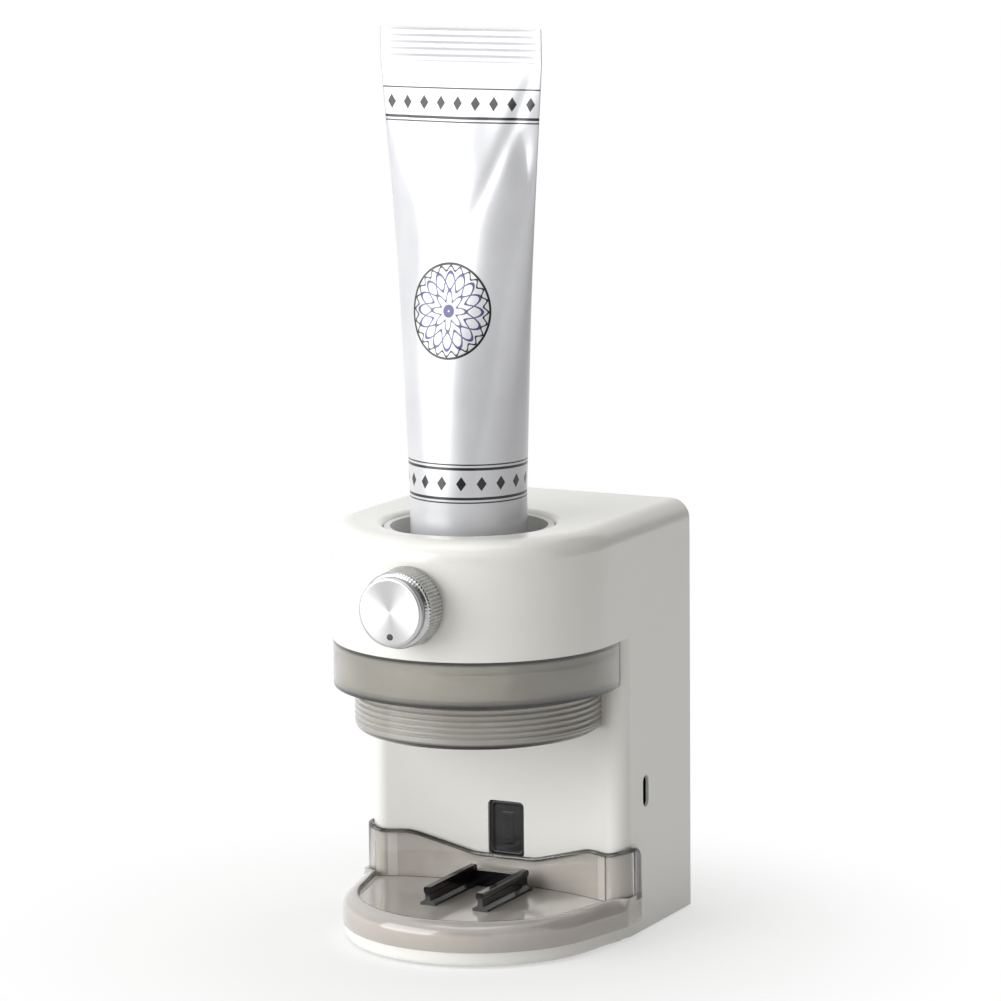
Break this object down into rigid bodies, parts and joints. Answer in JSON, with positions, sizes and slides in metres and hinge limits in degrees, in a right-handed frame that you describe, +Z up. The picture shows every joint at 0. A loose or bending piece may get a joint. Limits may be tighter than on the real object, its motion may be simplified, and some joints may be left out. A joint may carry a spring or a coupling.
{
  "type": "toothpaste dispenser",
  "caption": "Sensor-operated toothpaste dispenser: white head over a hollow-faced column, smoky brush tray, aluminium dose knob, and an inverted tube feeding a motor-driven gear pump.",
  "frame": {"origin": "on the standing plane, under the axis of the tube and nozzle", "axes": "+Z up along the tube, -Y to the front where the knob is, +Y to the wall behind"},
  "size_m": [0.0896, 0.1105, 0.27],
  "materials": {
    "white_shell": "gloss white moulding",
    "white_liner": "satin white",
    "smoky_clear": "clear smoky grey",
    "smoky_dark": "dark smoky",
    "silicone": "matt grey",
    "steel": "plain",
    "gear_plastic": "natural",
    "bronze": "sintered",
    "black_plastic": "satin black",
    "cell_wrap": "shrink wrap",
    "board": "solder mask",
    "dark_window": "gloss black",
    "aluminium": "spun",
    "tube_laminate": "silver white",
    "tube_plastic": "white"
  },
  "bodies": {
    "housing": {"main_housing": "white_shell", "base_pad": "silicone", "back_cover": "white_shell", "cover_screws": "steel", "head_band": "smoky_clear", "tube_well": "white_liner", "neck_adapter": "white_liner", "neck_seal": "silicone", "volume_pot": "steel", "pot_nut": "steel", "pump_body": "gear_plastic", "pump_cover": "gear_plastic", "shaft_seal": "silicone", "pump_screws": "steel", "outlet_valve": "silicone", "nozzle": "white_liner", "gear_frame": "gear_plastic", "rear_plate": "steel", "shaft_bushes": "bronze", "frame_screws": "steel", "plate_screws": "steel", "motor": "steel", "gear_axle": "steel", "follower_pin": "steel", "battery_holder": "black_plastic", "battery_cell": "cell_wrap", "main_board": "board", "board_screws": "steel", "board_parts": "black_plastic", "usb_port": "steel", "usb_tongue": "black_plastic", "sensor_window": "dark_window", "sensor_board": "board", "ir_emitter": "dark_window", "ir_receiver": "dark_window"},
    "collar": {"ribbed_collar": "smoky_clear"},
    "tray": {"brush_tray": "smoky_clear", "brush_guide": "smoky_dark"},
    "knob": {"knob_skirt": "aluminium", "knob_cap": "aluminium", "knob_stem": "steel"},
    "tube": {"tube_sleeve": "tube_laminate", "tube_shoulder": "tube_plastic"},
    "pump_drive": {"drive_shaft": "steel", "output_gear": "gear_plastic", "pump_drive_gear": "gear_plastic"},
    "pump_follower": {"pump_follower_gear": "gear_plastic"},
    "compound": {"compound_gear": "gear_plastic"},
    "rotor": {"motor_pinion": "bronze", "motor_shaft": "steel"}
  },
  "joints": [
    {"name": "knob_turn", "type": "hinge", "parent": "housing", "child": "knob", "pos_m": [0, -0.04, 0.1071], "axis": [0, 1, 0], "range_deg": [0, 300]},
    {"name": "tray_lift", "type": "slide", "parent": "housing", "child": "tray", "axis": [0, 0, 1], "range_m": [0, 0.016]},
    {"name": "tube_lift", "type": "slide", "parent": "housing", "child": "tube", "axis": [0, 0, 1], "range_m": [0, 0.04]},
    {"name": "collar_pull", "type": "slide", "parent": "housing", "child": "collar", "axis": [0, 0, -1], "range_m": [0, 0.016]},
    {"name": "pump_spin", "type": "hinge", "parent": "housing", "child": "pump_drive", "pos_m": [0.0066, 0.03, 0.082], "axis": [0, 1, 0], "continuous": true},
    {"name": "follower_spin", "type": "hinge", "parent": "housing", "child": "pump_follower", "pos_m": [-0.0066, 0.03, 0.082], "axis": [0, 1, 0], "continuous": true},
    {"name": "compound_spin", "type": "hinge", "parent": "housing", "child": "compound", "pos_m": [-0.0126, 0.03, 0.082], "axis": [0, 1, 0], "continuous": true},
    {"name": "rotor_spin", "type": "hinge", "parent": "housing", "child": "rotor", "pos_m": [-0.003, 0.03, 0.09863], "axis": [0, 1, 0], "continuous": true}
  ],
  "couplings": [
    {"joint": "follower_spin", "follows": "pump_spin", "ratio": -1},
    {"joint": "compound_spin", "follows": "pump_spin", "ratio": -3},
    {"joint": "rotor_spin", "follows": "pump_spin", "ratio": 9}
  ]
}
